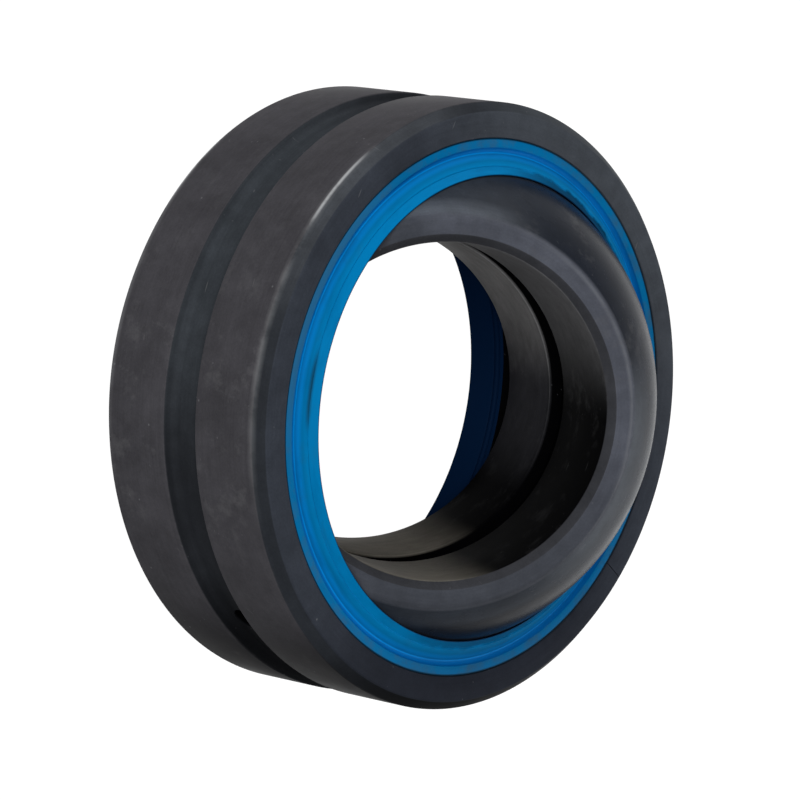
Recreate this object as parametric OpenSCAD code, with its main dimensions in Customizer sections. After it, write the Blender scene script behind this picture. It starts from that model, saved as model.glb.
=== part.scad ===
// Sealed spherical plain bearing, heavy series, 30 mm bore.
// A ball-shaped inner ring turns and tilts in a one-piece outer ring, with a lip seal on each side.
// +Z runs along the outer ring's axis towards the front, and the origin is the centre of the ball.
// All sizes are in millimetres.

/* [Inner ring] */
// Diameter of the bore, which takes the pin or shaft
bore_dia = 30; // [20:0.5:34]
// Width of the inner ring, from end face to end face
inner_width = 32; // [22:0.5:40]
// Diameter of the ball shape on the outside of the inner ring
ball_dia = 47; // [38:0.5:49]
// Size of the 45 degree chamfer at each mouth of the bore
bore_chamfer = 0.7; // [0.2:0.05:1.5]
// Size of the small break on the edge between the ball and each end face
ball_edge_break = 0.15; // [0.05:0.05:0.5]
// Width of the grease groove around the middle of the bore
bore_groove_width = 4.4; // [2:0.1:6]
// Depth of the grease groove in the bore
bore_groove_depth = 1.2; // [0.5:0.1:2]

/* [Outer ring] */
// Outside diameter, which sits in the housing
outer_dia = 55; // [54:0.5:70]
// Width of the outer ring
outer_width = 20; // [16:0.5:26]
// Size of the chamfer at both ends of the outside, along the radius
outer_chamfer_radial = 0.9; // [0.3:0.05:2]
// Size of the same chamfer, along the axis
outer_chamfer_axial = 1.0; // [0.3:0.05:2]
// Width of the grease groove around the outside, at its mouth
outer_groove_width = 4; // [2:0.1:6]
// Depth of the grease groove in the outside
outer_groove_depth = 1.1; // [0.5:0.1:2]
// Slope of the side walls of that groove, in degrees from square
outer_groove_slope = 12; // [0:1:30]
// Corner radius at the floor of that groove
outer_groove_fillet = 0.8; // [0.1:0.05:1]
// Width of the grease groove around the middle of the race
race_groove_width = 3; // [1:0.1:5]
// Depth of the grease groove in the race
race_groove_depth = 0.7; // [0.3:0.1:1.5]

/* [Grease holes] */
// Diameter of the radial holes that join the grease grooves
grease_hole_dia = 2.5; // [1:0.1:4]
// Number of holes in each ring, evenly spaced
grease_hole_count = 2; // [1:1:6]
// Angle of the first hole in the outer ring, seen from the front
outer_hole_angle = 230; // [0:0.5:360]
// Angle of the first hole in the inner ring, seen from the front
inner_hole_angle = 90; // [0:0.5:360]

/* [Split line] */
// Angle at which the outer ring was cracked so that it could be sprung over the ball
crack_angle = 323.8; // [0:0.1:360]
// Width of the hairline gap left by the crack
crack_gap = 0.07; // [0.03:0.01:0.2]
// How far the crack wanders to either side of a straight line
crack_wander = 0.3; // [0:0.05:1]

/* [Fits] */
// Gap between ball and race, on the radius
race_clearance = 0.05; // [0.02:0.01:0.1]
// Gap between the ball and the lips of the seals
lip_clearance = 0.1; // [0.05:0.01:0.3]
// Gap all round a seal in its seat
seat_clearance = 0.04; // [0.02:0.01:0.1]

/* [Seals] */
// Radial height of the seal at the face, from the ball to the mouth of its seat
seal_height = 3.06; // [2:0.02:3.6]
// Depth of the seal's seat below the face of the outer ring
seat_depth = 2.3; // [1.6:0.1:4]
// How far the seat is undercut behind its mouth
seat_undercut = 0.5; // [0.2:0.05:1]
// Depth of the straight mouth in front of the undercut
seat_mouth_depth = 0.7; // [0.4:0.05:1.2]
// Radial width of the flat rim on the front of the seal
rim_width = 0.85; // [0.4:0.05:1.5]
// How far the rim lies below the face of the outer ring
rim_set_back = 0.12; // [0:0.02:0.5]
// Depth of the rounded valley between the rim and the lip, from the rim
valley_depth = 0.3; // [0.1:0.02:0.6]
// Radius of that valley
valley_radius = 0.4; // [0.3:0.05:0.8]
// How far the crest of the lip stands above the face
crest_height = 0.24; // [0:0.02:0.5]
// Height of the small step from the crest down to the band at the tip
step_height = 0.06; // [0.04:0.02:0.3]
// Radial width of that step
step_width = 0.1; // [0.02:0.01:0.2]
// Radial width of the steep band between the crest and the tip
tip_band_width = 0.72; // [0.3:0.02:1]
// How far the tip of the lip stands above the face
tip_height = 0.75; // [0.5:0.05:1.5]
// Thickness of the tip where it ends
tip_land = 0.12; // [0.05:0.01:0.4]
// Radius of the hollow that parts the broad front lip from the narrow back one
pocket_radius = 0.3; // [0.2:0.02:0.4]
// Height of the middle of that hollow, below the face
pocket_below_face = 1.7; // [1.2:0.05:1.8]

/* [Rest pose] */
// Lean of the inner ring, as it lies when the bearing is loose
rest_tilt = 31; // [0:0.5:31]

/* [Hidden] */

// Smoothness of the turned surfaces and of the ball in section
turned_fn = 72;
section_fn = 96;
hole_fn = 32;
fillet_fn = 24;

// Extra length of cutters, so that they pass right through
over = 1;

bore_r = bore_dia / 2;
ball_r = ball_dia / 2;
outer_r = outer_dia / 2;
hole_r = grease_hole_dia / 2;
end_z = inner_width / 2;
face_z = outer_width / 2;
race_r = ball_r + race_clearance;
lip_r = ball_r + lip_clearance;

// Half-width of a circle, or radius of a ball, of radius r at height z from its centre
function ball_at(r, z) = sqrt(r * r - z * z);

// Seat of the seal in the outer ring
seat_floor_z = face_z - seat_depth;
mouth_r = ball_at(ball_r, face_z) + seal_height;
undercut_r = mouth_r + seat_undercut;
undercut_z = face_z - seat_mouth_depth;

// The seal's own outline, from its outer bead to its tip
seal_r = mouth_r - seat_clearance;
bead_r = undercut_r - seat_clearance;
seal_back_z = seat_floor_z + seat_clearance;
bead_z = undercut_z - seat_undercut - seat_clearance;
rim_z = face_z - rim_set_back;
valley_z = rim_z - valley_depth;
rim_in_r = seal_r - rim_width;
valley_r = rim_in_r - ball_at(valley_radius, valley_radius - valley_depth);
crest_z = face_z + crest_height;
tip_z = face_z + tip_height;
tip_r = ball_at(lip_r, tip_z) + tip_land;
crest_r = tip_r + tip_band_width;
inner_lip_r = ball_at(lip_r, tip_z) - over;
pocket_z = face_z - pocket_below_face;

// The crack's line across the ring, as shares of the ring's width and of its wander
crack_z_shares = [-0.6, -0.3, -0.12, 0.08, 0.3, 0.6];
crack_side_shares = [-0.4, 0.7, -1, 0.5, -0.6, 0.3];
crack_steps = len(crack_z_shares) - 1;

// One grease hole per angle, from inside_r out to outside_r
module grease_holes(first_angle, inside_r, outside_r) {
    for (i = [0 : grease_hole_count - 1])
        rotate([0, 0, first_angle + i * 360 / grease_hole_count])
            translate([inside_r, 0, 0])
                rotate([0, 90, 0])
                    cylinder(h = outside_r - inside_r, r = hole_r, $fn = hole_fn);
}

// Everything on or inside a ball of radius r, as a section
module ball_section(r) {
    circle(r = r, $fn = section_fn);
}

// Section of the outer ring's blank, with its chamfered outside corners
module outer_blank_section() {
    flat_r = outer_r - outer_chamfer_radial;
    straight_z = face_z - outer_chamfer_axial;
    polygon([
        [bore_r, -face_z],
        [flat_r, -face_z],
        [outer_r, -straight_z],
        [outer_r, straight_z],
        [flat_r, face_z],
        [bore_r, face_z]
    ]);
}

// Section of the groove around the outside: sloped walls and rounded floor corners
module outer_groove_section() {
    mouth_half = outer_groove_width / 2;
    floor_r = outer_r - outer_groove_depth;
    corner_r = floor_r + outer_groove_fillet;
    corner_half = mouth_half - (outer_groove_depth - outer_groove_fillet) * tan(outer_groove_slope);
    corner_mid = corner_half - outer_groove_fillet;
    over_half = mouth_half + over * tan(outer_groove_slope);
    polygon([
        [outer_r + over, -over_half],
        [outer_r + over, over_half],
        [corner_r, corner_half],
        [corner_r, corner_mid],
        [floor_r, corner_mid],
        [floor_r, -corner_mid],
        [corner_r, -corner_mid],
        [corner_r, -corner_half]
    ]);
    for (side = [-1, 1])
        translate([corner_r, side * corner_mid])
            circle(r = outer_groove_fillet, $fn = fillet_fn);
}

// Section of the seat that holds the front seal
module seat_section() {
    polygon([
        [bore_r - over, seat_floor_z],
        [undercut_r, seat_floor_z],
        [undercut_r, undercut_z - seat_undercut],
        [mouth_r, undercut_z],
        [mouth_r, face_z + over],
        [bore_r - over, face_z + over]
    ]);
}

// Section of the front seal: bead, rim, valley, crest, step and tip, with two lips that follow the ball
module seal_section() {
    difference() {
        polygon([
            [inner_lip_r, seal_back_z],
            [bead_r, seal_back_z],
            [bead_r, bead_z],
            [seal_r, bead_z + seat_undercut],
            [seal_r, rim_z],
            [rim_in_r, rim_z],
            [valley_r, valley_z],
            [crest_r, crest_z],
            [crest_r - step_width, crest_z - step_height],
            [tip_r, tip_z],
            [inner_lip_r, tip_z]
        ]);
        ball_section(lip_r);
        translate([valley_r, valley_z + valley_radius])
            circle(r = valley_radius, $fn = fillet_fn);
        translate([ball_at(lip_r, pocket_z), pocket_z])
            circle(r = pocket_radius, $fn = fillet_fn);
    }
}

// Thin jagged slab that stands in for the crack through the ring's wall
module crack_cutter() {
    side = [for (share = crack_side_shares) share * crack_wander];
    height = [for (share = crack_z_shares) share * outer_width];
    half = crack_gap / 2;
    rotate([0, 0, crack_angle])
        translate([bore_r, 0, 0])
            rotate([90, 0, 90])
                linear_extrude(height = outer_r)
                    polygon([
                        for (i = [0 : crack_steps]) [side[i] - half, height[i]],
                        for (i = [crack_steps : -1 : 0]) [side[i] + half, height[i]]
                    ]);
}

module outer_ring() {
    color([0.25, 0.25, 0.27])
        difference() {
            rotate_extrude($fn = turned_fn)
                difference() {
                    outer_blank_section();
                    ball_section(race_r);
                    outer_groove_section();
                    seat_section();
                    mirror([0, 1])
                        seat_section();
                    translate([bore_r, -race_groove_width / 2])
                        square([race_r + race_groove_depth - bore_r, race_groove_width]);
                }
            grease_holes(outer_hole_angle, bore_r, outer_r + over);
            crack_cutter();
        }
}

// Inner ring as turned, with its own axis along Z
module inner_ring_upright() {
    end_r = ball_at(ball_r, end_z);
    break_r = end_r - ball_edge_break;
    break_z = end_z - ball_edge_break;
    chamfer_r = bore_r + bore_chamfer;
    chamfer_z = end_z - bore_chamfer;
    groove_half = bore_groove_width / 2;
    groove_r = bore_r + bore_groove_depth;
    difference() {
        rotate_extrude($fn = turned_fn)
            intersection() {
                ball_section(ball_r);
                polygon([
                    [bore_r, -chamfer_z],
                    [chamfer_r, -end_z],
                    [break_r, -end_z],
                    [end_r + ball_edge_break, -break_z],
                    [ball_r + over, -break_z],
                    [ball_r + over, break_z],
                    [end_r + ball_edge_break, break_z],
                    [break_r, end_z],
                    [chamfer_r, end_z],
                    [bore_r, chamfer_z],
                    [bore_r, groove_half],
                    [groove_r, groove_half],
                    [groove_r, -groove_half],
                    [bore_r, -groove_half]
                ]);
            }
        grease_holes(inner_hole_angle, bore_r - over, ball_r + over);
    }
}

module inner_ring() {
    color([0.27, 0.28, 0.32])
        rotate([0, -rest_tilt, 0])
            inner_ring_upright();
}

module front_seal() {
    color([0, 0.42, 0.68])
        rotate_extrude($fn = turned_fn)
            seal_section();
}

module rear_seal() {
    color([0, 0.42, 0.68])
        rotate_extrude($fn = turned_fn)
            mirror([0, 1])
                seal_section();
}

outer_ring();
inner_ring();
front_seal();
rear_seal();
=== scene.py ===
"""A sealed spherical plain bearing: a blackened outer ring, a ball-shaped inner ring that leans in it, and
two blue lip seals. Z runs along the outer ring's axis towards the front. Sizes, outlines and patterns are
in millimetres, and the camera, the lamps and the floor are in metres, like Blender's own lengths."""
import math

import bpy
from mathutils import Matrix, Vector


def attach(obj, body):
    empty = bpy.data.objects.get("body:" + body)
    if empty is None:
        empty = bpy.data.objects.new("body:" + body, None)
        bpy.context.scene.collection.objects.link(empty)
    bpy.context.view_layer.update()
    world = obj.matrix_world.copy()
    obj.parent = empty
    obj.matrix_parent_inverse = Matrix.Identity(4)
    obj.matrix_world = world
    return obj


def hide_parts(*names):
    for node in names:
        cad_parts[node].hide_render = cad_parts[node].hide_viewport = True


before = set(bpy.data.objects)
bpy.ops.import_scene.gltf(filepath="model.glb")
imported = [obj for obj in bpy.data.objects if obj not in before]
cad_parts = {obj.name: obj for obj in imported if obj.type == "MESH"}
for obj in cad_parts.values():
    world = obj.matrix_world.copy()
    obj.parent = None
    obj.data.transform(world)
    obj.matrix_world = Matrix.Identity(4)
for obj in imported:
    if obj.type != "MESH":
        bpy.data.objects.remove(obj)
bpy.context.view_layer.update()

# A millimetre in metres
MM = 0.001

# Inner ring: a ball cut flat at both ends, at INNER_END_MM either side of its middle
BALL_R_MM = 23.5
BORE_R_MM = 15.0
INNER_END_MM = 16.0
BORE_CHAMFER_MM = 0.7
BALL_BREAK_MM = 0.15
BORE_GROOVE_HALF_MM = 2.2
BORE_GROOVE_DEPTH_MM = 1.2
INNER_HOLE_ANGLE = math.radians(90)
INNER_LEAN = math.radians(31)

# Outer ring, with its race and the seats of the seals
OUTER_R_MM = 27.5
OUTER_FACE_MM = 10.0
RACE_R_MM = 23.55
OUTER_CHAMFER_R_MM = 0.9
OUTER_CHAMFER_Z_MM = 1.0
OUTER_GROOVE_HALF_MM = 2.0
OUTER_GROOVE_DEPTH_MM = 1.1
OUTER_GROOVE_FILLET_MM = 0.8
OUTER_GROOVE_SLOPE = math.radians(12)
RACE_GROOVE_HALF_MM = 1.5
RACE_GROOVE_DEPTH_MM = 0.7
SEAT_FLOOR_MM = 7.7
SEAT_SHOULDER_MM = 9.3
SEAT_UNDERCUT_MM = 0.5
OUTER_HOLE_ANGLE = math.radians(230)

# Grease holes of both rings, which are drilled past the wall at both ends
GREASE_HOLE_R_MM = 1.25
HOLE_OVERRUN_MM = 2.0
HOLE_SIDES = 48

# Hairline crack of the outer ring: its bends' heights as shares of the ring's width, their places to the
# side as shares of its wander, and the size and closeness of the fine fray along it
CRACK_ANGLE = math.radians(323.8)
CRACK_GAP_MM = 0.07
CRACK_WANDER_MM = 0.3
CRACK_HEIGHT_SHARES = (-0.6, -0.3, -0.12, 0.08, 0.3, 0.6)
CRACK_SIDE_SHARES = (-0.4, 0.7, -1, 0.5, -0.6, 0.3)
CRACK_FRAY_MM = 0.035
CRACK_FRAY_PER_MM = (7.3, 3.1)
CRACK_STEPS = 10

# Seals: the front one's outline, from its seat to the tip of its lip
LIP_R_MM = 23.6
SEAL_HEIGHT_MM = 3.06
SEAT_CLEARANCE_MM = 0.04
RIM_WIDTH_MM = 0.85
RIM_SET_BACK_MM = 0.12
VALLEY_DEPTH_MM = 0.3
VALLEY_R_MM = 0.4
VALLEY_END = math.radians(-140)
CREST_HEIGHT_MM = 0.24
STEP_HEIGHT_MM = 0.06
STEP_WIDTH_MM = 0.1
TIP_BAND_WIDTH_MM = 0.72
TIP_HEIGHT_MM = 0.75
TIP_LAND_MM = 0.12
POCKET_R_MM = 0.3
POCKET_BELOW_FACE_MM = 1.7
POCKET_OPENING = math.radians(85)

# Width of the small rounding on each piece's sharp edges
OUTER_EDGE_MM = 0.1
INNER_EDGE_MM = 0.12
SEAL_EDGE_MM = 0.06

# How finely curves are turned: steps round the axis, along the arcs of a section, and across an edge
TURN_STEPS = 288
BALL_STEPS = 96
RACE_STEPS = 24
FILLET_STEPS = 6
LIP_STEPS = 8
VALLEY_STEPS = 8
EDGE_STEPS = 3

# Points closer than this become one. An edge that turns by more than the first angle is rounded, and one
# that still turns by more than the second looks crisp
MERGE_MM = 0.002
ROUNDED_FROM = math.radians(18)
CRISP_FROM = math.radians(30)

# Sizes of the steel's patterns: clouds of the coat, its mottle and grain, the lines of turning, the patches
# that are rubbed, and how far apart specks lie. The grain and the lines are finer on the real one, and are
# drawn as coarse as they need to show
CLOUD_MM = 5.882
MOTTLE_MM = 1.4286
GRAIN_MM = 0.2
TURNING_LINE_MM = 0.2857
RUBBED_PATCH_MM = 3.333
SPECK_SPACING_MM = 1.818
SCRATCH_SPACING_MM = 0.5
COAT_RELIEF_MM = 0.04

# Sizes of the polyurethane's patterns: smears of grease, streaks round the seal, and the ragged edge of the
# painted shade along the tip
SMEAR_MM = 2.5
STREAK_MM = 0.7692
TIP_SHADE_RAGGED_MM = 2.0
SMEAR_RELIEF_MM = 0.05

# Radii where each band of a seal starts and is full: the lip's cone, the valley, the rim, the rim's edge,
# and all that lies inside the valley
SEAL_BANDS_MM = ((22.6, 22.3), (22.9, 23.05), (23.35, 23.5), (24.12, 24.2), (22.95, 22.85))

# The radii that the painted shade along the tip of the seals reaches, and the place of the smudge of dirt
# on the front lip
TIP_SHADE_LEAST_MM = 21.6
TIP_SHADE_MOST_MM = 22.1
SMUDGE_R_MM = 21.85
SMUDGE_Z_MM = 10.2
SMUDGE_REACH_MM = 0.3

# Grease and painted shade of the seals: how thick they lie against the ball, where they fade out, and how
# far off the middle the back is clean and lit, and is greased and shaded all over
GREASE_AND_SHADE_DEPTH_MM = 0.03
GREASE_AND_SHADE_FADE_MM = 0.12
BACK_CLEAN_AND_LIT_MM = 10.2
BACK_GREASED_AND_SHADED_MM = 9.2

# Range that the value of a noise mostly keeps to
NOISE_LOW = 0.3
NOISE_HIGH = 0.7

# Floor, in metres
FLOOR_WIDTH = 6
FLOOR_Z = -0.05

# A colour zone that covers a whole piece, and a hollow that no place lies in
ALL_OVER = ("radius", 0, 1)
NO_HOLLOW = (0, -1)


def ball_at(radius, height):
    """Radius of a ball's section at a height above its centre."""
    return math.sqrt(radius * radius - height * height)


MOUTH_R_MM = ball_at(BALL_R_MM, OUTER_FACE_MM) + SEAL_HEIGHT_MM
UNDERCUT_R_MM = MOUTH_R_MM + SEAT_UNDERCUT_MM


def arc(centre, radius, start, end, steps):
    """Points of an arc in a half-section, from one angle to another; angle 0 points away from the axis."""
    made = []
    for i in range(steps + 1):
        angle = start + (end - start) * i / steps
        made.append((centre[0] + radius * math.cos(angle), centre[1] + radius * math.sin(angle)))
    return made


def flipped(points):
    """The same points on the other side of the middle, in the order that carries the outline on."""
    return [(r, -z) for r, z in reversed(points)]


def outer_ring_outline():
    """Half-section of the outer ring, round its front half and back along the rear half."""
    floor_r = OUTER_R_MM - OUTER_GROOVE_DEPTH_MM
    fillet_r = floor_r + OUTER_GROOVE_FILLET_MM
    fillet_z = (OUTER_GROOVE_HALF_MM - OUTER_GROOVE_FILLET_MM
                - (OUTER_GROOVE_DEPTH_MM - OUTER_GROOVE_FILLET_MM) * math.tan(OUTER_GROOVE_SLOPE))
    race_mouth = math.asin(SEAT_FLOOR_MM / RACE_R_MM)
    race_middle = math.asin(RACE_GROOVE_HALF_MM / RACE_R_MM)
    front_outside = [
        (MOUTH_R_MM, OUTER_FACE_MM),
        (OUTER_R_MM - OUTER_CHAMFER_R_MM, OUTER_FACE_MM),
        (OUTER_R_MM, OUTER_FACE_MM - OUTER_CHAMFER_Z_MM),
        (OUTER_R_MM, OUTER_GROOVE_HALF_MM),
    ] + arc((fillet_r, fillet_z), OUTER_GROOVE_FILLET_MM, math.pi / 2, math.pi, FILLET_STEPS)
    front_inside = [
        (RACE_R_MM + RACE_GROOVE_DEPTH_MM, RACE_GROOVE_HALF_MM),
    ] + arc((0, 0), RACE_R_MM, race_middle, race_mouth, RACE_STEPS) + [
        (UNDERCUT_R_MM, SEAT_FLOOR_MM),
        (UNDERCUT_R_MM, SEAT_SHOULDER_MM - SEAT_UNDERCUT_MM),
        (MOUTH_R_MM, SEAT_SHOULDER_MM),
    ]
    return front_outside + flipped(front_outside) + flipped(front_inside) + front_inside


def inner_ring_outline():
    """Half-section of the inner ring before it is leaned over."""
    end_r = ball_at(BALL_R_MM, INNER_END_MM)
    ball_edge = math.asin((INNER_END_MM - BALL_BREAK_MM) / BALL_R_MM)
    front_bore = [
        (BORE_R_MM + BORE_GROOVE_DEPTH_MM, BORE_GROOVE_HALF_MM),
        (BORE_R_MM, BORE_GROOVE_HALF_MM),
        (BORE_R_MM, INNER_END_MM - BORE_CHAMFER_MM),
        (BORE_R_MM + BORE_CHAMFER_MM, INNER_END_MM),
        (end_r - BALL_BREAK_MM, INNER_END_MM),
    ]
    return front_bore + arc((0, 0), BALL_R_MM, ball_edge, -ball_edge, BALL_STEPS) + flipped(front_bore)


def seal_outline():
    """Half-section of the front seal: bead, rim, valley, crest, step, tip, and two lips that follow the
    ball with a pocket between them."""
    seal_r = MOUTH_R_MM - SEAT_CLEARANCE_MM
    bead_r = UNDERCUT_R_MM - SEAT_CLEARANCE_MM
    back_z = SEAT_FLOOR_MM + SEAT_CLEARANCE_MM
    shoulder_z = SEAT_SHOULDER_MM - SEAT_CLEARANCE_MM
    rim_z = OUTER_FACE_MM - RIM_SET_BACK_MM
    rim_in_r = seal_r - RIM_WIDTH_MM
    valley_r = rim_in_r - ball_at(VALLEY_R_MM, VALLEY_R_MM - VALLEY_DEPTH_MM)
    valley_middle = (valley_r, rim_z - VALLEY_DEPTH_MM + VALLEY_R_MM)
    valley_start = -math.asin(1 - VALLEY_DEPTH_MM / VALLEY_R_MM)
    valley = arc(valley_middle, VALLEY_R_MM, valley_start, VALLEY_END, VALLEY_STEPS)
    tip_z = OUTER_FACE_MM + TIP_HEIGHT_MM
    tip_r = ball_at(LIP_R_MM, tip_z) + TIP_LAND_MM
    crest_r = tip_r + TIP_BAND_WIDTH_MM
    crest_z = OUTER_FACE_MM + CREST_HEIGHT_MM
    pocket_z = OUTER_FACE_MM - POCKET_BELOW_FACE_MM
    pocket_at = math.asin(pocket_z / LIP_R_MM)
    pocket_reach = 2 * math.asin(POCKET_R_MM / 2 / LIP_R_MM)
    front_lip = arc((0, 0), LIP_R_MM, math.asin(tip_z / LIP_R_MM), pocket_at + pocket_reach, LIP_STEPS)
    pocket = arc((ball_at(LIP_R_MM, pocket_z), pocket_z), POCKET_R_MM,
                 pocket_at + POCKET_OPENING, pocket_at - POCKET_OPENING, LIP_STEPS)
    back_lip = arc((0, 0), LIP_R_MM, pocket_at - pocket_reach, math.asin(back_z / LIP_R_MM), LIP_STEPS)
    return [
        (bead_r, back_z),
        (bead_r, shoulder_z - SEAT_UNDERCUT_MM),
        (seal_r, shoulder_z),
        (seal_r, rim_z),
    ] + valley + [
        (crest_r, crest_z),
        (crest_r - STEP_WIDTH_MM, crest_z - STEP_HEIGHT_MM),
        (tip_r, tip_z),
    ] + front_lip + pocket + back_lip


def select_only(piece):
    """Selects one piece and makes it the active one."""
    bpy.ops.object.select_all(action="DESELECT")
    piece.select_set(True)
    bpy.context.view_layer.objects.active = piece


def finish_modifier(piece, kind, **settings):
    """Adds a modifier to a piece and applies it."""
    bpy.context.view_layer.objects.active = piece
    modifier = piece.modifiers.new(kind.title(), kind)
    for name, value in settings.items():
        setattr(modifier, name, value)
    bpy.ops.object.modifier_apply(modifier=modifier.name)


def draw_line(points_mm):
    """Draws a new piece as a line, point by point, and leaves it in edit mode with all of it selected."""
    bpy.ops.object.select_all(action="DESELECT")
    bpy.ops.mesh.primitive_plane_add(size=MM, location=(0, 0, 0))
    bpy.ops.object.mode_set(mode="EDIT")
    bpy.ops.mesh.select_all(action="SELECT")
    bpy.ops.mesh.merge(type="CENTER")
    bpy.ops.transform.translate(value=[place * MM for place in points_mm[0]])
    for start, end in zip(points_mm, points_mm[1:]):
        step = [(b - a) * MM for a, b in zip(start, end)]
        bpy.ops.mesh.extrude_vertices_move(TRANSFORM_OT_translate={"value": step})
    bpy.ops.mesh.select_all(action="SELECT")
    return bpy.context.object


def turn(name, outline, edge_round_mm):
    """Turns a closed half-section round the Z axis and rounds its sharp edges."""
    piece = draw_line([(r, 0, z) for r, z in outline + outline[:1]])
    piece.name = name
    bpy.ops.mesh.spin(steps=TURN_STEPS, angle=2 * math.pi, center=(0, 0, 0), axis=(0, 0, 1))
    bpy.ops.mesh.select_all(action="SELECT")
    bpy.ops.mesh.remove_doubles(threshold=MERGE_MM * MM)
    bpy.ops.mesh.normals_make_consistent(inside=False)
    bpy.ops.object.mode_set(mode="OBJECT")
    finish_modifier(piece, "BEVEL", width=edge_round_mm * MM, segments=EDGE_STEPS, limit_method="ANGLE",
                    angle_limit=ROUNDED_FROM)
    return piece


def cut(piece, cutter):
    """Cuts a cutter out of a piece and clears the cutter away."""
    finish_modifier(piece, "BOOLEAN", operation="DIFFERENCE", solver="EXACT", object=cutter)
    bpy.data.objects.remove(cutter)


def drill_grease_holes(piece, angle, wall_inside_mm, wall_outside_mm):
    """Drills two opposite radial holes through a ring's wall, which lies between two radii."""
    middle_mm = (wall_inside_mm + wall_outside_mm) / 2
    length_mm = wall_outside_mm - wall_inside_mm + 2 * HOLE_OVERRUN_MM
    for side in (angle, angle + math.pi):
        bpy.ops.object.select_all(action="DESELECT")
        direction = Vector((math.cos(side), math.sin(side), 0))
        bpy.ops.mesh.primitive_cylinder_add(
            vertices=HOLE_SIDES, radius=GREASE_HOLE_R_MM * MM, depth=length_mm * MM,
            location=direction * middle_mm * MM, rotation=(0, math.pi / 2, side))
        cut(piece, bpy.context.object)


def crack_through(piece):
    """Cuts the hairline crack: a thin jagged sheet that runs through the ring's wall."""
    bends = [(side * CRACK_WANDER_MM, height * 2 * OUTER_FACE_MM)
             for side, height in zip(CRACK_SIDE_SHARES, CRACK_HEIGHT_SHARES)]
    close, wide = CRACK_FRAY_PER_MM
    points = []
    for (side_0, z_0), (side_1, z_1) in zip(bends, bends[1:]):
        for i in range(CRACK_STEPS):
            share = i / CRACK_STEPS
            z = z_0 * (1 - share) + z_1 * share
            fray = CRACK_FRAY_MM * math.sin(close * z) * math.cos(wide * z + 1)
            points.append((BORE_R_MM, side_0 * (1 - share) + side_1 * share + fray, z))
    sheet = draw_line(points)
    bpy.ops.mesh.extrude_edges_move(TRANSFORM_OT_translate={"value": (OUTER_R_MM * MM, 0, 0)})
    bpy.ops.object.mode_set(mode="OBJECT")
    finish_modifier(sheet, "SOLIDIFY", thickness=CRACK_GAP_MM * MM, offset=0)
    sheet.rotation_euler = (0, 0, CRACK_ANGLE)
    bpy.context.view_layer.update()
    cut(piece, sheet)


def smooth(piece):
    """Shades a piece smooth, with the edges sharper than the ring's own curves left crisp."""
    select_only(piece)
    bpy.ops.object.shade_smooth_by_angle(angle=CRISP_FROM)


def lean(piece):
    """Leans the inner ring over about the Y axis, into the pose it rests in."""
    select_only(piece)
    piece.rotation_euler = (0, -INNER_LEAN, 0)
    bpy.ops.object.transform_apply(location=False, rotation=True, scale=False)


def linear(code):
    """An sRGB hex colour as the linear colour that a shader takes."""
    channels = [int(code[i:i + 2], 16) / 255 for i in (1, 3, 5)]
    return tuple(c / 12.92 if c <= 0.04045 else ((c + 0.055) / 1.055) ** 2.4 for c in channels) + (1,)


def add(tree, kind, inputs=None, **settings):
    """Adds a node with its settings. Its inputs, by name or number, are values, sockets or nodes, where a
    node stands for its first output. In a MapRange, 0 is what is measured, 1 and 2 are where its change
    starts and ends, and 3 and 4 are what it is there, 0 and 1 unless given. In a Mix, 0 is the mask, and
    6 and 7 are the two colours."""
    made = tree.nodes.new("ShaderNode" + kind)
    for name, value in settings.items():
        setattr(made, name, value)
    for key, value in (inputs or {}).items():
        if isinstance(value, bpy.types.Node):
            value = value.outputs[0]
        if isinstance(value, bpy.types.NodeSocket):
            tree.links.new(value, made.inputs[key])
        else:
            made.inputs[key].default_value = value
    return made


def new_material(name):
    """An empty material and its node tree."""
    material = bpy.data.materials.new(name)
    material.use_nodes = True
    material.node_tree.nodes.clear()
    return material, material.node_tree


def turned_places(tree, lean_back):
    """Millimetre places on a turned piece, stood upright: the place, the way out from the axis, the radius
    and the height."""
    source = add(tree, "TexCoord")
    upright = add(tree, "Mapping", {"Vector": source.outputs["Object"], "Rotation": (0, lean_back, 0)})
    place = add(tree, "VectorMath", {0: upright, "Scale": 1 / MM}, operation="SCALE")
    flat = add(tree, "VectorMath", {0: place, 1: (1, 1, 0)}, operation="MULTIPLY")
    radius = add(tree, "VectorMath", {0: flat}, operation="LENGTH")
    outward = add(tree, "VectorMath", {0: flat}, operation="NORMALIZE")
    height = add(tree, "SeparateXYZ", {0: place})
    return place, outward, radius.outputs["Value"], height.outputs[2]


def layered(tree, ground, layers):
    """A ground colour with further colours laid over it, each where its own 0 to 1 mask is."""
    colour = linear(ground) if isinstance(ground, str) else ground
    for mask, code in layers:
        colour = add(tree, "Mix", {0: mask, 6: colour, 7: linear(code)}, data_type="RGBA").outputs[2]
    return colour


def facing(tree, outward, angle, width, full=1.0):
    """A mask on the side of a turned piece that looks to an angle, fading to 0 over a width to each side.
    Both are in degrees."""
    way = (math.cos(math.radians(angle)), math.sin(math.radians(angle)), 0)
    turned = add(tree, "VectorMath", {0: outward, 1: way}, operation="DOT_PRODUCT")
    return add(tree, "MapRange", {0: turned.outputs["Value"], 1: math.cos(math.radians(width)), 4: full},
               interpolation_type="SMOOTHSTEP")


def round_line(tree, radius, height, line_r, line_z, reach):
    """A mask along a line round a turned piece, given by its radius and height, fading to 0 at its reach."""
    off_r = add(tree, "Math", {0: radius, 1: line_r}, operation="SUBTRACT")
    off_z = add(tree, "Math", {0: height, 1: line_z}, operation="SUBTRACT")
    off = add(tree, "CombineXYZ", {0: off_r, 1: off_z})
    away = add(tree, "VectorMath", {0: off}, operation="LENGTH")
    full_within = 0.2 * reach
    return add(tree, "MapRange", {0: away.outputs["Value"], 1: reach, 2: full_within})


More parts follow.
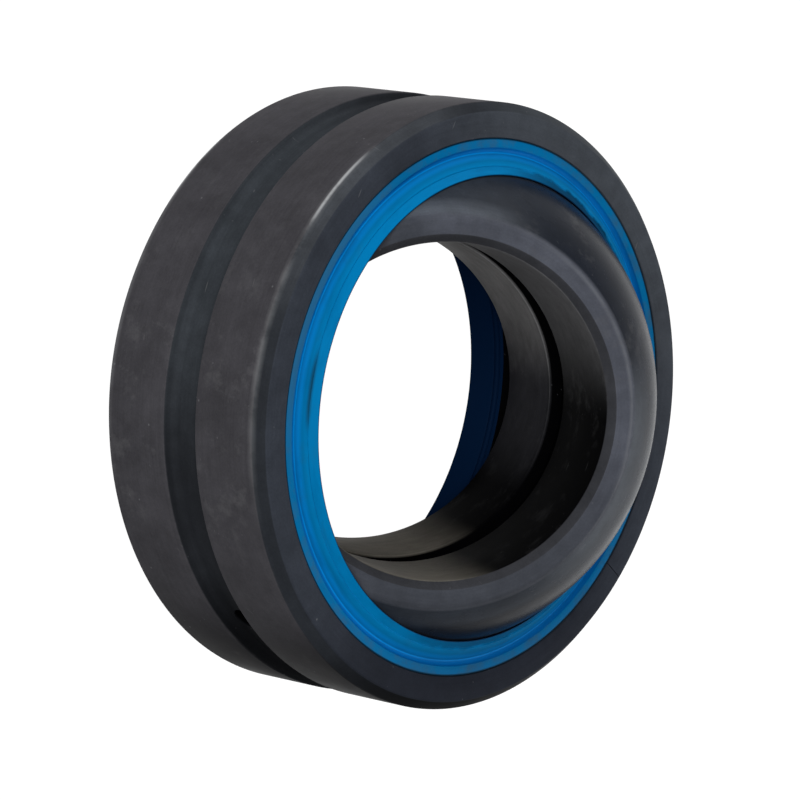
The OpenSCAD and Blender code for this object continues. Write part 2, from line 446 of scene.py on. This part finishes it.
def scratches(tree, place, turn_by, length_mm, rare, full):
    """Fine short straight scratches, all one way. They are rarer the closer rare is to 1."""
    along = add(tree, "Mapping", {"Vector": place, "Rotation": turn_by})
    cell = (1 / length_mm, 1 / SCRATCH_SPACING_MM, 1 / SCRATCH_SPACING_MM)
    stretched = add(tree, "VectorMath", {0: along, 1: cell}, operation="MULTIPLY")
    marks = add(tree, "TexVoronoi", {"Vector": stretched, "Scale": 1.0})
    lone = add(tree, "SeparateXYZ", {0: marks.outputs["Color"]})
    narrow = add(tree, "MapRange", {0: marks.outputs["Distance"], 1: 0.14, 2: 0.08})
    chosen = add(tree, "MapRange", {0: lone, 1: rare, 2: rare + 0.02, 4: full})
    return add(tree, "Math", {0: narrow, 1: chosen}, operation="MULTIPLY")


def smears(tree, place, outward, radius, rubbed_side, hollow, marks):
    """Patchy smears, most of them on the rubbed side and none in the hollow."""
    patchy = add(tree, "TexNoise", {
        "Vector": place, "Scale": 1 / RUBBED_PATCH_MM, "Detail": 5.0, "Roughness": 0.7})
    least, most = 0.4 * marks, 1.6 * marks
    full = add(tree, "MapRange", {0: facing(tree, outward, *rubbed_side), 3: least, 4: most})
    patches = add(tree, "MapRange", {0: patchy, 1: 0.55, 2: 0.74, 4: full})
    hollow_start, hollow_full = hollow
    raised = add(tree, "MapRange", {0: radius, 1: hollow_start, 2: hollow_full, 3: 1.0, 4: 0.0})
    return add(tree, "Math", {0: patches, 1: raised}, operation="MULTIPLY")


def specks(tree, place, full):
    """Small round specks, in about a fifth of the places where one could lie."""
    dots = add(tree, "TexVoronoi", {"Vector": place, "Scale": 1 / SPECK_SPACING_MM})
    lone = add(tree, "SeparateXYZ", {0: dots.outputs["Color"]})
    round_dot = add(tree, "MapRange", {0: dots.outputs["Distance"], 1: 0.07, 2: 0.03})
    chosen = add(tree, "MapRange", {0: lone, 1: 0.8, 2: 0.86, 4: full})
    return add(tree, "Math", {0: round_dot, 1: chosen}, operation="MULTIPLY")


def blackened_steel(name, lean_back, coat, zones, worn_edges, rubbed_side, hollow, marks, gloss, roughness):
    """Bearing steel, ground or turned, then phosphated black and oiled: a dark satin coat, faintly clouded,
    with turning lines, specks and scratches, smears where it is rubbed, outside its hollow, and bare steel
    where an edge is worn through. Zones of colour by side paint light and shade onto the coat, and a worn
    edge can be partly a painted highlight.

    A zone is what it is measured by, where that starts and is full, its colour, and the side it is on, as
    an angle and the width over which it fades. It is measured by radius, by height, or by how far it is
    off the middle of the ring, to either side. The rubbed side is an angle and a width too. A worn edge is
    its radius, how far off the middle it is, its reach, its side and how much it is worn. The hollow is
    the radii where it starts and where nothing rubs any more. Marks is how much specks, scratches and
    smears show."""
    material, tree = new_material(name)
    place, outward, radius, height = turned_places(tree, lean_back)
    off_middle = add(tree, "Math", {0: height}, operation="ABSOLUTE").outputs[0]

    cloud = add(tree, "TexNoise", {
        "Vector": place, "Scale": 1 / CLOUD_MM, "Detail": 5.0, "Roughness": 0.62})
    mottle = add(tree, "TexNoise", {
        "Vector": place, "Scale": 1 / MOTTLE_MM, "Detail": 3.0, "Roughness": 0.6})
    grain = add(tree, "TexNoise", {"Vector": place, "Scale": 1 / GRAIN_MM, "Detail": 2.0})
    across = add(tree, "Math", {0: height, 1: radius}, operation="SUBTRACT")
    line_place = add(tree, "CombineXYZ", {2: across})
    line_vector = add(tree, "VectorMath", {0: outward, 1: line_place}, operation="ADD")
    lines = add(tree, "TexNoise", {
        "Vector": line_vector, "Scale": 1 / TURNING_LINE_MM, "Detail": 4.0, "Roughness": 0.7})

    measures = {"radius": radius, "off_middle": off_middle, "height": height}
    layers = []
    for measure, off, on, code, side in zones:
        zone = add(tree, "MapRange", {0: measures[measure], 1: off, 2: on})
        if side:
            zone = add(tree, "Math", {0: zone, 1: facing(tree, outward, *side)}, operation="MULTIPLY")
        layers.append((zone, code))
    colour = layered(tree, coat, layers)
    tone = 1.0
    tone_depths = ((cloud, 0.16), (mottle, 0.08), (grain, 0.06), (lines, 0.07))
    for source, depth in tone_depths:
        change = add(tree, "MapRange", {0: source, 1: NOISE_LOW, 2: NOISE_HIGH, 3: 1 - depth, 4: 1 + depth})
        tone = add(tree, "Math", {0: tone, 1: change}, operation="MULTIPLY")
    toned = add(tree, "VectorMath", {0: colour, "Scale": tone}, operation="SCALE").outputs[0]

    long_scratches = scratches(tree, place, turn_by=(0.6, 0.4, 0.9), length_mm=7, rare=0.92, full=marks)
    short_scratches = scratches(tree, place, turn_by=(1.9, 1.2, 0.2), length_mm=5, rare=0.94, full=marks)
    marked = [(smears(tree, place, outward, radius, rubbed_side, hollow, marks), "#6a6a6c"),
              (long_scratches, "#66676a"), (short_scratches, "#7a7a7c"),
              (specks(tree, place, marks), "#8d8f92")]
    patches = add(tree, "MapRange", {0: cloud, 1: 0.32, 2: 0.5})
    for edge_r, edge_z, reach, angle, width, wear in worn_edges:
        edge = round_line(tree, radius, off_middle, edge_r, edge_z, reach)
        patched = add(tree, "Math", {0: edge, 1: patches}, operation="MULTIPLY")
        worn_side = facing(tree, outward, angle, width, wear)
        worn = add(tree, "Math", {0: patched, 1: worn_side}, operation="MULTIPLY")
        marked.append((worn, "#b4b6b8"))

    smoothest, roughest = roughness - 0.05, roughness + 0.05
    rough = add(tree, "MapRange", {0: cloud, 1: NOISE_LOW, 2: NOISE_HIGH, 3: smoothest, 4: roughest})
    relief = add(tree, "Math", {0: grain, 1: lines}, operation="ADD")
    bump = add(tree, "Bump", {"Strength": 0.12, "Distance": COAT_RELIEF_MM * MM, "Height": relief})
    shader = add(tree, "BsdfPrincipled", {
        "Base Color": layered(tree, toned, marked), "Roughness": rough, "Specular IOR Level": gloss,
        "Normal": bump})
    add(tree, "OutputMaterial", {"Surface": shader})
    return material


def seal_polyurethane():
    """Polyurethane, injection moulded in blue: smooth and slightly waxy, filmed with grease and a little
    dirt, most of it on the flat rim. Painted shade darkens it along the tip of the lip, low and high on
    the right, at the rim's outer edge, and under the grease between the lips and on the back."""
    material, tree = new_material("moulded_blue_polyurethane")
    place, outward, radius, height = turned_places(tree, 0)
    off_middle = add(tree, "Math", {0: height}, operation="ABSOLUTE").outputs[0]
    from_centre = add(tree, "VectorMath", {0: place}, operation="LENGTH").outputs["Value"]

    cone, valley, rim, rim_edge, inside = [
        add(tree, "MapRange", {0: radius, 1: start, 2: full}) for start, full in SEAL_BANDS_MM]
    clean = layered(tree, "#0294ea", ((cone, "#027ab6"), (valley, "#026ab4"), (rim, "#026ea6")))

    smear_vector = add(tree, "VectorMath", {0: place, 1: (1, 1, 3)}, operation="MULTIPLY")
    smear = add(tree, "TexNoise", {
        "Vector": smear_vector, "Scale": 1 / SMEAR_MM, "Detail": 5.0, "Roughness": 0.65})
    ring_place = add(tree, "CombineXYZ", {2: radius})
    streak_wide = add(tree, "VectorMath", {0: outward, "Scale": 3.0}, operation="SCALE")
    streak_vector = add(tree, "VectorMath", {0: streak_wide, 1: ring_place}, operation="ADD")
    streak = add(tree, "TexNoise", {
        "Vector": streak_vector, "Scale": 1 / STREAK_MM, "Detail": 4.0, "Roughness": 0.6})
    fine = add(tree, "TexNoise", {
        "Vector": place, "Scale": 1 / TIP_SHADE_RAGGED_MM, "Detail": 3.0, "Roughness": 0.6})

    # Film and streaks of grease all over, dust on the rim, and shade low and high on the right
    film = add(tree, "MapRange", {0: smear, 1: 0.56, 2: 0.74, 4: 0.25})
    streaks = add(tree, "MapRange", {0: streak, 1: 0.5, 2: 0.75, 4: 0.35})
    rim_patchy = add(tree, "MapRange", {0: smear, 1: 0.46, 2: 0.66, 4: 0.5})
    rim_left = facing(tree, outward, angle=158, width=40, full=0.4)
    rim_dirty = add(tree, "Math", {0: rim_patchy, 1: rim_left}, operation="MAXIMUM")
    rim_dirt = add(tree, "Math", {0: rim, 1: rim_dirty}, operation="MULTIPLY")
    low_right = facing(tree, outward, angle=292, width=52, full=0.28)
    high_right = facing(tree, outward, angle=48, width=45, full=0.1)

    # Painted shade along the tip of the lip, up to a ragged radius, and a smudge of dirt on the left
    tip_reach = add(tree, "MapRange", {
        0: fine, 1: NOISE_LOW, 2: NOISE_HIGH, 3: TIP_SHADE_LEAST_MM, 4: TIP_SHADE_MOST_MM})
    tip_depth = add(tree, "Math", {0: tip_reach, 1: radius}, operation="SUBTRACT")
    tip_dark = add(tree, "MapRange", {0: tip_depth, 1: -0.1, 2: 0.25, 4: 0.8})
    tip_high = facing(tree, outward, angle=52, width=42)
    tip_low = facing(tree, outward, angle=285, width=40, full=0.5)
    tip_side = add(tree, "Math", {0: tip_high, 1: tip_low}, operation="MAXIMUM")
    tip_shade = add(tree, "Math", {0: tip_dark, 1: tip_side}, operation="MULTIPLY")
    smudge_line = round_line(tree, radius, height, SMUDGE_R_MM, SMUDGE_Z_MM, SMUDGE_REACH_MM)
    smudge_patchy = add(tree, "MapRange", {0: streak, 1: 0.35, 2: 0.5, 4: 0.8})
    smudge_here = add(tree, "Math", {0: smudge_line, 1: smudge_patchy}, operation="MULTIPLY")
    smudge_side = facing(tree, outward, angle=176, width=11)
    smudge = add(tree, "Math", {0: smudge_here, 1: smudge_side}, operation="MULTIPLY")

    # Grease and painted shade between the lips and all over the back, seen through the bore
    hollow_grease_and_shade = add(tree, "MapRange", {
        0: from_centre, 1: LIP_R_MM + GREASE_AND_SHADE_FADE_MM, 2: LIP_R_MM + GREASE_AND_SHADE_DEPTH_MM})
    back_grease_and_shade = add(tree, "MapRange", {0: off_middle, 1: BACK_CLEAN_AND_LIT_MM, 2: BACK_GREASED_AND_SHADED_MM})
    deep = add(tree, "Math", {0: back_grease_and_shade, 1: inside}, operation="MULTIPLY")
    grease_and_shade = add(tree, "Math", {0: hollow_grease_and_shade, 1: deep}, operation="MAXIMUM")
    # Painted shade among these colours: low and high on the right, along the tip, at the rim's outer edge
    # against the outer ring, and with the grease between the lips and on the back
    colour = layered(tree, clean, (
        (film, "#1f6a90"), (streaks, "#024e7e"), (rim_dirt, "#3d5666"), (low_right, "#03203f"),
        (high_right, "#032c4c"), (tip_shade, "#03182a"), (smudge, "#143a4c"), (rim_edge, "#0b2f45"),
        (grease_and_shade, "#061c38")))
    rough = add(tree, "MapRange", {0: smear, 1: NOISE_LOW, 2: NOISE_HIGH, 3: 0.34, 4: 0.46})
    bump = add(tree, "Bump", {"Strength": 0.1, "Distance": SMEAR_RELIEF_MM * MM, "Height": smear})
    shader = add(tree, "BsdfPrincipled", {
        "Base Color": colour, "Roughness": rough, "Specular IOR Level": 0.01, "Normal": bump})
    add(tree, "OutputMaterial", {"Surface": shader})
    return material


def make_outer_ring():
    """The outer ring, with its groove, chamfers and faces darker or lighter than its outside, and with
    painted light and shade on its sides.
    """
    piece = turn("outer_ring_turned", outer_ring_outline(), OUTER_EDGE_MM)
    drill_grease_holes(piece, OUTER_HOLE_ANGLE, RACE_R_MM, OUTER_R_MM)
    crack_through(piece)
    smooth(piece)
    chamfer_z = OUTER_FACE_MM - OUTER_CHAMFER_Z_MM
    floor_r = OUTER_R_MM - OUTER_GROOVE_DEPTH_MM
    inside_wall = (OUTER_R_MM - 0.02, OUTER_R_MM - 0.15)
    groove = ("radius",) + inside_wall
    hole = ("radius", floor_r - 0.05, floor_r - 0.2)
    chamfer = ("off_middle", chamfer_z, chamfer_z + 0.1)
    face = ("off_middle", OUTER_FACE_MM - 0.12, OUTER_FACE_MM - 0.05)
    # Painted light and shade: the whole ring is darker at the bottom, the groove and the chamfer are lighter
    # upper left and darker at the bottom, the chamfer and the face are lighter upper right, the face is
    # darker at the bottom, and the holes and the inside are near black as painted shade. The plain groove,
    # chamfer and face colours are their own coats.
    zones = (ALL_OVER + ("#0e0e10", (256, 37)),
             groove + ("#27292d", None),
             groove + ("#3a3e43", (145, 52)),
             groove + ("#0d0e10", (246, 30)),
             hole + ("#040405", None),
             chamfer + ("#2c2f34", None),
             chamfer + ("#43464b", (132, 36)),
             chamfer + ("#3f4348", (65, 34)),
             chamfer + ("#0c0d0f", (270, 42)),
             face + ("#373b43", None),
             face + ("#43474d", (50, 72)),
             face + ("#22252d", (276, 66)))
    # The bright line on the chamfer's edge, upper left, is partly worn steel and partly a painted highlight
    worn = ((OUTER_R_MM, chamfer_z, 0.22, 136, 11, 0.85), (OUTER_R_MM, chamfer_z, 0.5, 160, 45, 0.16))
    piece.data.materials.append(blackened_steel(
        "phosphated_steel_of_the_outer_ring", lean_back=0, coat="#454448", zones=zones, worn_edges=worn,
        rubbed_side=(182, 35), hollow=inside_wall, marks=0.3, gloss=0.008, roughness=0.45))
    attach(piece, "outer_ring")
    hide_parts("outer_ring")


def make_inner_ring():
    """The inner ring, leaned over. Its ball is burnished smoother than its bore, which is duller."""
    piece = turn("inner_ring_turned", inner_ring_outline(), INNER_EDGE_MM)
    drill_grease_holes(piece, INNER_HOLE_ANGLE, BORE_R_MM, BALL_R_MM)
    lean(piece)
    smooth(piece)
    end_r = ball_at(BALL_R_MM, INNER_END_MM)
    chamfer_z = INNER_END_MM - BORE_CHAMFER_MM
    below_shoulder = ("off_middle", 13.8, 12.8)
    shoulder = ("off_middle", 12.4, 15.0)
    high_shoulder = ("off_middle", 13.9, 15.2)
    end = ("off_middle", INNER_END_MM - 0.6, INNER_END_MM - 0.2)
    # Painted light and shade on the ball: darker upper right and low on the right, painted highlights on the
    # shoulder at the right and on top, and the end face darker upper left and low down. The end face's plain
    # lighter colour is its own.
    ball_zones = (ALL_OVER + ("#151a24", (36, 52)),
                  below_shoulder + ("#151921", (288, 38)),
                  shoulder + ("#50555c", (342, 42)),
                  high_shoulder + ("#50555d", (96, 28)),
                  end + ("#4f525b", None),
                  end + ("#3f4249", (118, 26)),
                  end + ("#42454c", (285, 70)))
    ball_worn = ((end_r, INNER_END_MM, 0.3, 20, 50, 0.12),)
    piece.data.materials.append(blackened_steel(
        "phosphated_steel_of_the_ball", lean_back=INNER_LEAN, coat="#2b3038", zones=ball_zones,
        worn_edges=ball_worn, rubbed_side=(40, 60), hollow=NO_HOLLOW, marks=0.16, gloss=0.02,
        roughness=0.26))

    behind_wall = (BORE_R_MM + 0.05, BORE_R_MM + 0.3)
    rear_land = ("height", -1, -3)
    groove = ("radius",) + behind_wall
    chamfer = ("off_middle", chamfer_z, chamfer_z + 0.1)
    # The bore's near-black coat is painted shade, and these zones paint light and reflection onto it:
    # lighter on top and low down in a warm patch, brightest on the rear land, and dimmer on its right. The
    # groove and the holes are near black as painted shade, and the chamfer is lighter as painted light.
    bore_zones = (ALL_OVER + ("#747476", (78, 78)),
                  rear_land + ("#303034", (12, 48)),
                  rear_land + ("#8e8d8d", (75, 72)),
                  ALL_OVER + ("#747068", (260, 36)),
                  rear_land + ("#807b72", (266, 43)),
                  groove + ("#040405", None),
                  chamfer + ("#393a3e", None))
    bore_worn = ((BORE_R_MM, BORE_GROOVE_HALF_MM, 0.12, 45, 60, 0.2),)
    # The bore's coat below is near black as painted shade
    piece.data.materials.append(blackened_steel(
        "phosphated_steel_of_the_bore", lean_back=INNER_LEAN, coat="#070708", zones=bore_zones,
        worn_edges=bore_worn, rubbed_side=(45, 60), hollow=behind_wall, marks=0.2, gloss=0.0005,
        roughness=0.35))

    # The bore's material goes on its wall, groove and chamfers, and the ball's on all other faces
    bore_reach = (BORE_R_MM + BORE_GROOVE_DEPTH_MM + 0.1) * MM
    bore_end = (INNER_END_MM - 0.02) * MM
    turn_back = Matrix.Rotation(INNER_LEAN, 3, "Y")
    for face in piece.data.polygons:
        upright = turn_back @ face.center
        if math.hypot(upright.x, upright.y) < bore_reach and abs(upright.z) < bore_end:
            face.material_index = 1
    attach(piece, "inner_ring")
    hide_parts("inner_ring")


def make_seals():
    """The front seal and its copy, turned over to the rear."""
    material = seal_polyurethane()
    front = turn("front_seal_moulded", seal_outline(), SEAL_EDGE_MM)
    select_only(front)
    bpy.ops.object.duplicate()
    rear = bpy.context.object
    rear.name = "rear_seal_moulded"
    rear.rotation_euler = (math.pi, 0, 0)
    bpy.ops.object.transform_apply(location=False, rotation=True, scale=False)
    for piece, node in ((front, "front_seal"), (rear, "rear_seal")):
        smooth(piece)
        piece.data.materials.append(material)
        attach(piece, "seals")
        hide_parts(node)


def set_camera():
    """The photo's view: from the front and to the side, with the ring's Y axis upright in the picture. Its
    place, its directions and its lens are fitted to the edges of both rings."""
    right = Vector((0.68999, 0.09199, 0.71795))
    up = Vector((-0.00813, 0.99281, -0.11940))
    back = right.cross(up)
    place = Vector((-0.32173, 0.03360, 0.30507))
    data = bpy.data.cameras.new("camera")
    data.sensor_width = 36
    data.lens = 219.59
    data.clip_start = 0.01
    data.clip_end = 20
    camera = bpy.data.objects.new("camera", data)
    bpy.context.scene.collection.objects.link(camera)
    camera.matrix_world = Matrix.Translation(place) @ Matrix((right, up, back)).transposed().to_4x4()
    bpy.context.scene.camera = camera


def add_softbox(name, direction, distance, size, watts):
    """A square softbox, at a distance in a direction from the bearing, that faces it."""
    data = bpy.data.lights.new(name, "AREA")
    data.shape = "SQUARE"
    data.size = size
    data.energy = watts
    lamp = bpy.data.objects.new(name, data)
    bpy.context.scene.collection.objects.link(lamp)
    way = Vector(direction).normalized()
    lamp.matrix_world = Matrix.Translation(way * distance) @ way.to_track_quat("Z", "Y").to_matrix().to_4x4()


def seen(tree):
    """A mask that is 1 where the camera, a reflection or a view through a clear thing looks, and 0 for
    the light that falls on the bearing."""
    ray = add(tree, "LightPath")
    by_gloss = add(tree, "Math", {0: ray.outputs["Is Camera Ray"], 1: ray.outputs["Is Glossy Ray"]},
                   operation="MAXIMUM")
    return add(tree, "Math", {0: by_gloss, 1: ray.outputs["Is Transmission Ray"]}, operation="MAXIMUM")


def set_studio():
    """A white floor and surroundings, with soft light from all round and a few softboxes. More light comes
    from the Y side, which is up in the photo's view."""
    scene = bpy.context.scene
    scene.view_settings.view_transform = "Standard"
    world = bpy.data.worlds.new("studio")
    world.use_nodes = True
    tree = world.node_tree
    tree.nodes.clear()
    way = add(tree, "TexCoord")
    up = add(tree, "SeparateXYZ", {0: way.outputs["Generated"]})
    light_below, light_above = 0.05, 0.45
    from_above = add(tree, "MapRange", {0: up.outputs[1], 1: -1.0, 2: 1.0, 3: light_below, 4: light_above})
    strength = add(tree, "MapRange", {0: seen(tree), 3: from_above, 4: 1.0})
    light = add(tree, "Background", {"Color": (1, 1, 1, 1), "Strength": strength})
    add(tree, "OutputWorld", {"Surface": light})
    scene.world = world

    bpy.ops.object.select_all(action="DESELECT")
    bpy.ops.mesh.primitive_plane_add(size=FLOOR_WIDTH, location=(0, 0, FLOOR_Z))
    floor = bpy.context.object
    floor.name = "floor"
    material, tree = new_material("white_sweep")
    # Where it is seen the floor is white and takes the shadow, and for the bearing's light it is grey
    glow = add(tree, "Emission", {"Color": (1, 1, 1, 1), "Strength": 0.85})
    plain = add(tree, "BsdfDiffuse", {"Color": (0.25, 0.25, 0.25, 1)})
    bright = add(tree, "AddShader", {0: glow, 1: plain})
    matte = add(tree, "BsdfDiffuse", {"Color": (0.3, 0.3, 0.3, 1)})
    both = add(tree, "MixShader", {0: seen(tree), 1: matte, 2: bright})
    add(tree, "OutputMaterial", {"Surface": both})
    floor.data.materials.append(material)

    add_softbox("softbox_key", direction=(-0.8, 0.1, 0.6), distance=0.6, size=0.4, watts=2.6)
    add_softbox("softbox_top", direction=(0.4, 1.0, 0.2), distance=0.6, size=0.4, watts=1.35)
    add_softbox("softbox_right", direction=(1.0, -0.5, 0.7), distance=0.2, size=0.1, watts=0.15)


set_camera()
set_studio()
make_outer_ring()
make_inner_ring()
make_seals()
